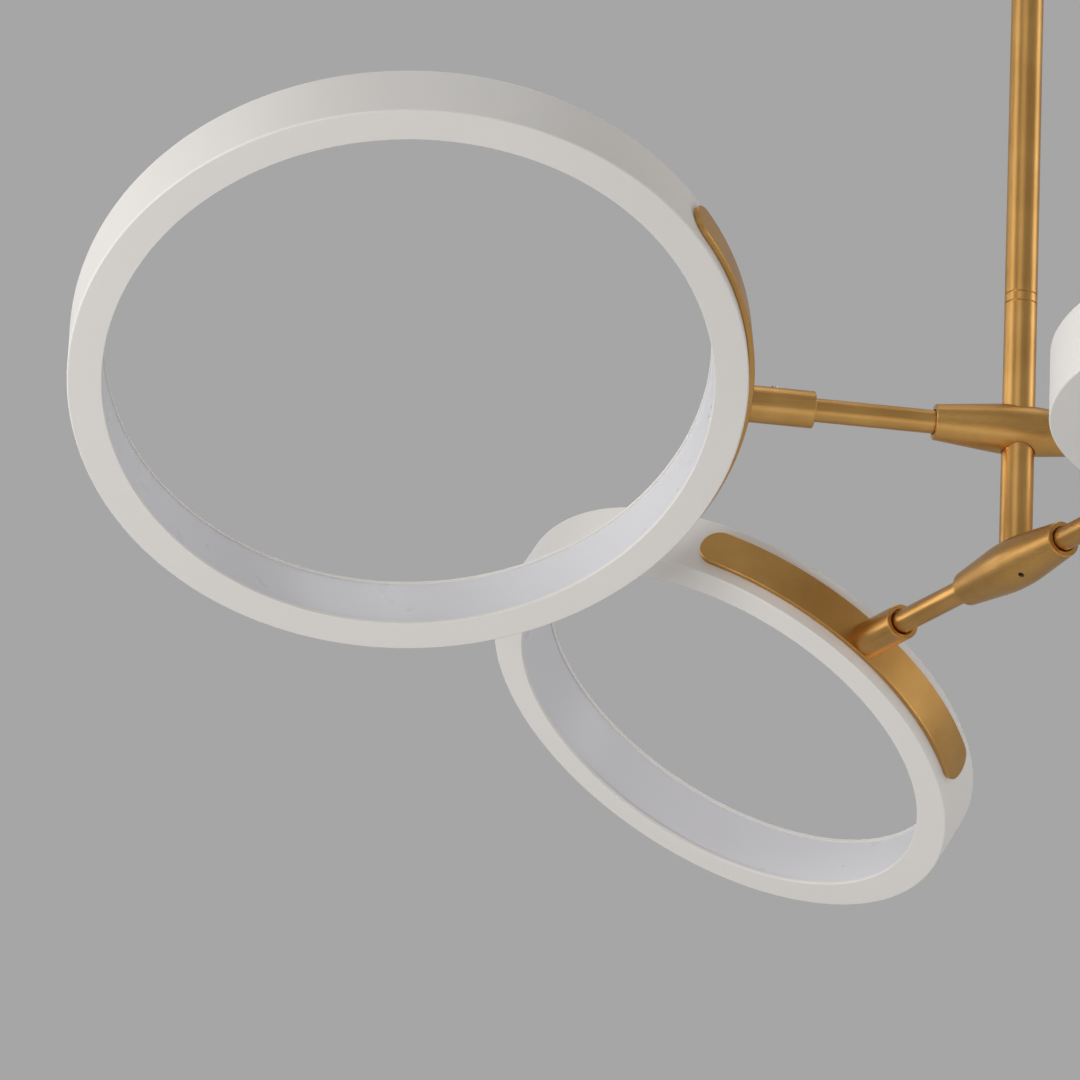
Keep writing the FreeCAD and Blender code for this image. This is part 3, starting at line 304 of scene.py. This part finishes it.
def makeBrass(name, direction):
    # satin brass, brushed along one direction
    material, tree, shader = newMaterial(name, brassLook["rough"], metallic=1.0)
    brushed = placeGroup(tree, brushedGroup)
    brushed.inputs["Direction"].default_value = direction
    brushed.inputs["Fineness"].default_value = brassLook["fineness"]
    brushed.inputs["Stretch"].default_value = brassLook["stretch"]
    streak, cloud = brushed.outputs["Streak"], brushed.outputs["Cloud"]
    tone = mathNode(tree, "ADD", mathNode(tree, "MULTIPLY", streak, brassLook["streakShare"]),
                    mathNode(tree, "MULTIPLY", cloud, brassLook["cloudShare"]))
    colour = mixColours(tree, spread(tree, tone, 0, 1), brassLook["dark"], brassLook["light"])
    tree.links.new(colour, shader.inputs["Base Color"])
    rough = spread(tree, streak, brassLook["smooth"], brassLook["rough"])
    tree.links.new(rough, shader.inputs["Roughness"])
    addBump(tree, shader, streak, brassLook["groove"])
    return material


# paint and moulded plastic, and below them bare metal: height is how high the grain stands
sprayedLooks = {
    "whitePaint": {"dark": (0.775, 0.748, 0.714), "light": (0.805, 0.778, 0.744),
                   "roughness": 0.42, "fineness": 1500.0, "height": 0.012},
    "opalPlastic": {"dark": (0.69, 0.682, 0.706), "light": (0.72, 0.712, 0.736),
                    "roughness": 0.3, "fineness": 60.0, "height": 0.01},
    "leadPlastic": {"dark": (0.02, 0.02, 0.022), "light": (0.03, 0.03, 0.032),
                    "roughness": 0.5, "fineness": 900.0, "height": 0.02},
    "casePlastic": {"dark": (0.68, 0.68, 0.67), "light": (0.73, 0.73, 0.72),
                    "roughness": 0.5, "fineness": 1200.0, "height": 0.03},
    "terminalPlastic": {"dark": (0.6, 0.6, 0.58), "light": (0.66, 0.66, 0.64),
                        "roughness": 0.45, "fineness": 1200.0, "height": 0.02},
    "stripBoard": {"dark": (0.72, 0.66, 0.42), "light": (0.8, 0.74, 0.5),
                   "roughness": 0.5, "fineness": 800.0, "height": 0.02},
}
bareMetalLooks = {
    "steelHardware": {"dark": (0.58, 0.58, 0.59), "light": (0.68, 0.68, 0.69),
                      "roughness": 0.3},
    "blackSteel": {"dark": (0.05, 0.05, 0.052), "light": (0.08, 0.08, 0.083),
                   "roughness": 0.45},
    "zincPlate": {"dark": (0.46, 0.47, 0.49), "light": (0.6, 0.61, 0.62), "roughness": 0.36},
    "earthBrass": {"dark": (0.5, 0.36, 0.12), "light": (0.62, 0.46, 0.18), "roughness": 0.3},
}
roughnessSwing = 0.2  # the grain changes a finish's roughness by this share


def makeFine(name, dark, light, roughness, fineness, height, metallic=0.0, reach=0.4):
    # a slow change of tone and a fine grain, as on paint, moulded plastic and bare steel
    material, tree, shader = newMaterial(name, roughness, metallic)
    fine = placeGroup(tree, speckGroup)
    fine.inputs["Fineness"].default_value = fineness
    colour = mixColours(tree, spread(tree, fine.outputs["Tone"], 0, 1, reach), dark, light)
    tree.links.new(colour, shader.inputs["Base Color"])
    rough = spread(tree, fine.outputs["Grain"], roughness * (1 - roughnessSwing),
                   roughness * (1 + roughnessSwing), reach)
    tree.links.new(rough, shader.inputs["Roughness"])
    addBump(tree, shader, fine.outputs["Grain"], height)
    return material


finishes = {name: makeFine(name, **look) for name, look in sprayedLooks.items()}
for name, look in bareMetalLooks.items():
    finishes[name] = makeFine(name, **look, fineness=900.0, height=0.01, metallic=1.0, reach=0.2)
upright = makeBrass("brassUpright", (0, 0, 1))
armBrass = {side: makeBrass(f"brass{side.capitalize()}", tuple(armDirection(side)))
            for side in ringSides}
print("materials made")


# the CAD nodes that keep their shape get their finish here
finishedNodes = {
    "steelHardware": ["canopy_studs", "swivel_washer", "swivel_nut", "pivot_screws"],
    "blackSteel": ["upper_hub_screws", "lower_hub_screws"],
    "zincPlate": ["mounting_plate", "driver_screws"],
    "earthBrass": ["earth_screw"],
    "casePlastic": ["led_driver"],
    "terminalPlastic": ["terminal_block"],
    "leadPlastic": ["driver_lead", "stem_lead"],
}
uprightNodes = ["canopy", "cap_nuts", "swivel_head", "swivel_tongue", "top_rod", "stem_coupler",
                "hub_tube"]
nodeLooks = {node: finishes[look] for look, names in finishedNodes.items() for node in names}
nodeLooks.update({node: upright for node in uprightNodes})
nodeLooks["upper_hub"] = armBrass["left"]
nodeLooks["lower_hub"] = armBrass["rear"]
for side in ringSides:
    nodeLooks[f"{side}_arm_rod"] = armBrass[side]
    nodeLooks[f"{side}_ring_collar"] = armBrass[side]
    nodeLooks[f"{side}_arm_lead"] = finishes["leadPlastic"]
    nodeLooks[f"{side}_collar_screw"] = finishes["steelHardware"]
    nodeLooks[f"{side}_ring_bolt"] = finishes["steelHardware"]
    nodeLooks[f"{side}_led_strip"] = finishes["stripBoard"]
for name, look in nodeLooks.items():
    for place in nodes[name].material_slots:
        place.material = look
print("CAD nodes finished:", len(nodeLooks))


# the white ring channels: a section turned round the ring's axis
channel = {
    "depth": 16.5,       # outer band to the flanges' inner edge
    "halfWidth": 16.25,
    "wall": 1.5,
    "flange": 1.8,
    "outerRound": 0.9,
    "innerRound": 0.4,
    "grooveNear": 0.7,   # the diffuser's groove, from the flanges' inner edge
    "grooveFar": 2.9,
    "grooveDepth": 0.7,
    "sides": 288,
}


def makeChannel(side):
    radius = ringSides[side]["radius"]
    inner = radius - channel["depth"]
    high = channel["halfWidth"]
    step = high - channel["flange"]
    deep = step + channel["grooveDepth"]
    near, far = inner + channel["grooveNear"], inner + channel["grooveFar"]
    back = radius - channel["wall"]
    edge, lip = channel["outerRound"], channel["innerRound"]
    corners = [
        (radius, -high, edge), (radius, high, edge), (inner, high, lip), (inner, step),
        (near, step), (near, deep), (far, deep), (far, step), (back, step),
        (back, -step), (far, -step), (far, -deep), (near, -deep), (near, -step),
        (inner, -step), (inner, -high, lip),
    ]
    piece = lathe(f"{side}Channel", roundedOutline(corners), channel["sides"])
    smoothPiece(piece)
    settle(piece, ringMatrix(side), f"{side}_ring", f"{side}_ring_housing",
           finishes["whitePaint"])


for side in ringSides:
    makeChannel(side)
print("ring channels done")


# opal diffusers: a strip bent round inside the channel, with a seam where its ends meet
opalStrip = {
    "inset": 15.78,       # outer band to its visible face
    "wall": 2.0,
    "halfWidth": 15.05,
    "seam": 0.35,
    "seamTurn": -75,
    "steps": 240,
}


def makeDiffuser(side):
    radius = ringSides[side]["radius"]
    face = radius - opalStrip["inset"]
    middle = face + opalStrip["wall"] / 2
    nothingSelected()
    bpy.ops.mesh.primitive_plane_add(size=1, location=(0, 0, 0))
    piece = bpy.context.object
    piece.name = f"{side}Diffuser"
    bpy.ops.object.mode_set(mode="EDIT")
    bpy.ops.mesh.select_all(action="SELECT")
    size = (opalStrip["wall"] * mm, opalStrip["halfWidth"] * 2 * mm, 1)
    bpy.ops.transform.resize(value=size, center_override=(0, 0, 0))
    bpy.ops.object.mode_set(mode="OBJECT")
    for vertex in piece.data.vertices:  # stood up on the XZ plane, out at its radius
        vertex.co = (vertex.co.x + middle * mm, 0, vertex.co.y)
    bpy.ops.object.mode_set(mode="EDIT")
    bpy.ops.mesh.select_all(action="SELECT")
    gap = opalStrip["seam"] / face
    bpy.ops.mesh.spin(steps=opalStrip["steps"], angle=2 * math.pi - gap, center=(0, 0, 0),
                      axis=(0, 0, 1))
    closeUp()
    smoothPiece(piece)
    turn = Matrix.Rotation(math.radians(opalStrip["seamTurn"]), 4, "Z")
    settle(piece, ringMatrix(side) @ turn, f"{side}_ring", f"{side}_ring_diffuser",
           finishes["opalPlastic"])


for side in ringSides:
    makeDiffuser(side)
print("diffusers done")


# curved brass plates: laid out flat, rounded, thickened, then wrapped on the outer band
curvedPlate = {
    "wall": 3.0,
    "lift": 0.05,        # clear of the ring's outer band
    "halfWidth": 9.8,
    "halfAngle": 42,
    "cornerRound": 9.5,
    "cornerSteps": 18,
    "edgeRound": 0.5,
    "edgeSteps": 3,
    "edgeAngle": 50,     # edges sharper than this are rounded
    "slices": 72,
}


def makePlate(side):
    radius = ringSides[side]["radius"]
    outer = radius + curvedPlate["wall"]
    halfLength = outer * math.radians(curvedPlate["halfAngle"])
    nothingSelected()
    bpy.ops.mesh.primitive_plane_add(size=2, location=(0, 0, 0))
    piece = bpy.context.object
    piece.name = f"{side}Plate"
    bpy.ops.object.mode_set(mode="EDIT")
    bpy.ops.mesh.select_all(action="SELECT")
    size = (halfLength * mm, curvedPlate["halfWidth"] * mm, 1)
    bpy.ops.transform.resize(value=size, center_override=(0, 0, 0))
    bpy.ops.mesh.bevel(offset=curvedPlate["cornerRound"] * mm,
                       segments=curvedPlate["cornerSteps"], affect="VERTICES")
    for cut in range(1, curvedPlate["slices"]):
        across = halfLength * (2 * cut / curvedPlate["slices"] - 1) * mm
        bpy.ops.mesh.select_all(action="SELECT")
        bpy.ops.mesh.bisect(plane_co=(across, 0, 0), plane_no=(1, 0, 0))
    bpy.ops.mesh.select_all(action="SELECT")
    rise = (curvedPlate["wall"] - curvedPlate["lift"]) * mm
    bpy.ops.mesh.extrude_region_move(TRANSFORM_OT_translate={"value": (0, 0, rise)})
    closeUp()
    rounding = piece.modifiers.new("rim", "BEVEL")
    rounding.width = curvedPlate["edgeRound"] * mm
    rounding.segments = curvedPlate["edgeSteps"]
    rounding.limit_method = "ANGLE"
    rounding.angle_limit = math.radians(curvedPlate["edgeAngle"])
    selectOnly(piece)
    bpy.ops.object.modifier_apply(modifier=rounding.name)
    for vertex in piece.data.vertices:
        turn = math.pi + vertex.co.x / (outer * mm)
        reach = (radius + curvedPlate["lift"]) * mm + vertex.co.z
        vertex.co = (reach * math.cos(turn), reach * math.sin(turn), vertex.co.y)
    bpy.ops.object.mode_set(mode="EDIT")
    closeUp()
    smoothPiece(piece)
    settle(piece, ringMatrix(side), f"{side}_ring", f"{side}_ring_plate",
           armBrass[side])


for side in ringSides:
    makePlate(side)
print("plates done")


# the studio: a pale floor well below, a plain pale surround and soft lamps
studio = {
    "floorDrop": 2600,
    "floorSize": 60000,
    "floorColour": 0.7,
    "floorRoughness": 0.9,
    "floorGlow": 0.13,  # only as seen, so that the floor looks as pale as the surround
    "surround": 0.38,   # as seen straight on and in reflections
    "ambient": 0.3,     # as it lights everything else
    "lampsAim": (-150, 0, -450),
    "lampDistance": 2600,
    "lampSize": 1250,
}


def seenRays(tree):
    # 1 where the surface is looked at, straight on, in a reflection or through glass
    rays = tree.nodes.new("ShaderNodeLightPath")
    seen = mathNode(tree, "MAXIMUM", rays.outputs["Is Camera Ray"],
                    rays.outputs["Is Glossy Ray"])
    return mathNode(tree, "MAXIMUM", seen, rays.outputs["Is Transmission Ray"])


def makeFloor():
    nothingSelected()
    bpy.ops.mesh.primitive_plane_add(size=studio["floorSize"] * mm,
                                     location=(0, 0, -studio["floorDrop"] * mm))
    floor = bpy.context.object
    floor.name = "studioFloor"
    material = bpy.data.materials.new("paleFloor")
    material.use_nodes = True
    tree = material.node_tree
    shader = tree.nodes["Principled BSDF"]
    grey = studio["floorColour"]
    shader.inputs["Base Color"].default_value = (grey, grey, grey, 1)
    shader.inputs["Roughness"].default_value = studio["floorRoughness"]
    shader.inputs["Emission Color"].default_value = (1, 1, 1, 1)
    tree.links.new(mathNode(tree, "MULTIPLY", seenRays(tree), studio["floorGlow"]),
                   shader.inputs["Emission Strength"])
    clear = tree.nodes.new("ShaderNodeBsdfTransparent")  # seen from below, it isn't there
    mix = tree.nodes.new("ShaderNodeMixShader")
    under = tree.nodes.new("ShaderNodeNewGeometry")
    tree.links.new(under.outputs["Backfacing"], mix.inputs["Fac"])
    tree.links.new(shader.outputs[0], mix.inputs[1])
    tree.links.new(clear.outputs[0], mix.inputs[2])
    tree.links.new(mix.outputs[0], tree.nodes["Material Output"].inputs["Surface"])
    floor.data.materials.append(material)


def makeSurround():
    world = bpy.data.worlds.new("studioSurround")
    bpy.context.scene.world = world
    world.use_nodes = True
    tree = world.node_tree
    background = tree.nodes["Background"]
    background.inputs["Color"].default_value = (1, 1, 1, 1)
    extra = mathNode(tree, "MULTIPLY", seenRays(tree), studio["surround"] - studio["ambient"])
    tree.links.new(mathNode(tree, "ADD", extra, studio["ambient"]),
                   background.inputs["Strength"])


lamps = {  # turn is from +X about +Z, rise is above level, power is in watts
    "keyLamp": {"turn": -150, "rise": -20, "power": 35},
    "fillLamp": {"turn": -20, "rise": -20, "power": 15},
    "lowLamp": {"turn": -80, "rise": -40, "power": 3},
    "leftLamp": {"turn": -170, "rise": 20, "power": 8},
    "frontLamp": {"turn": -110, "rise": 20, "power": 4},
    "rightLamp": {"turn": -5, "rise": 20, "power": 9},
    "topLamp": {"turn": 0, "rise": 85, "power": 7},
    "backLamp": {"turn": 155, "rise": 8, "power": 15},
}


def makeLamps():
    aim = Vector(studio["lampsAim"]) * mm
    for name, facts in lamps.items():
        turn, rise = math.radians(facts["turn"]), math.radians(facts["rise"])
        outward = Vector((math.cos(turn) * math.cos(rise), math.sin(turn) * math.cos(rise),
                          math.sin(rise)))
        light = bpy.data.lights.new(name, "AREA")
        light.size = studio["lampSize"] * mm
        light.energy = facts["power"]
        lamp = bpy.data.objects.new(name, light)
        bpy.context.scene.collection.objects.link(lamp)
        lamp.location = aim + outward * studio["lampDistance"] * mm
        lamp.rotation_euler = (-outward).to_track_quat("-Z", "Y").to_euler()


makeFloor()
makeSurround()
makeLamps()
bpy.context.scene.view_settings.view_transform = "Standard"


# the camera, where the photograph was taken from, with angles in radians
viewpoint = {
    "place": (-506.237, -2384.361, -1424.331),
    "yaw": 0.11562,    # to the right of straight ahead
    "pitch": 0.362,    # up
    "roll": -0.05526,
    "lens": 180.7,
    "sensor": 36,
    "nearest": 50,     # what it sees lies between these two
    "farthest": 60000,
}


def makeCamera():
    yaw, pitch, roll = (viewpoint[key] for key in ("yaw", "pitch", "roll"))
    ahead = Vector((math.sin(yaw) * math.cos(pitch), math.cos(yaw) * math.cos(pitch),
                    math.sin(pitch)))
    level = Vector((math.cos(yaw), -math.sin(yaw), 0))
    below = ahead.cross(level)
    right = level * math.cos(roll) + below * math.sin(roll)
    down = below * math.cos(roll) - level * math.sin(roll)
    data = bpy.data.cameras.new("photoCamera")
    data.sensor_width = viewpoint["sensor"]
    data.lens = viewpoint["lens"]
    data.clip_start = viewpoint["nearest"] * mm
    data.clip_end = viewpoint["farthest"] * mm
    camera = bpy.data.objects.new("photoCamera", data)
    bpy.context.scene.collection.objects.link(camera)
    turned = Matrix((right, -down, -ahead)).transposed().to_4x4()
    camera.matrix_world = Matrix.Translation(Vector(viewpoint["place"]) * mm) @ turned
    bpy.context.scene.camera = camera


makeCamera()
print("studio and camera ready")
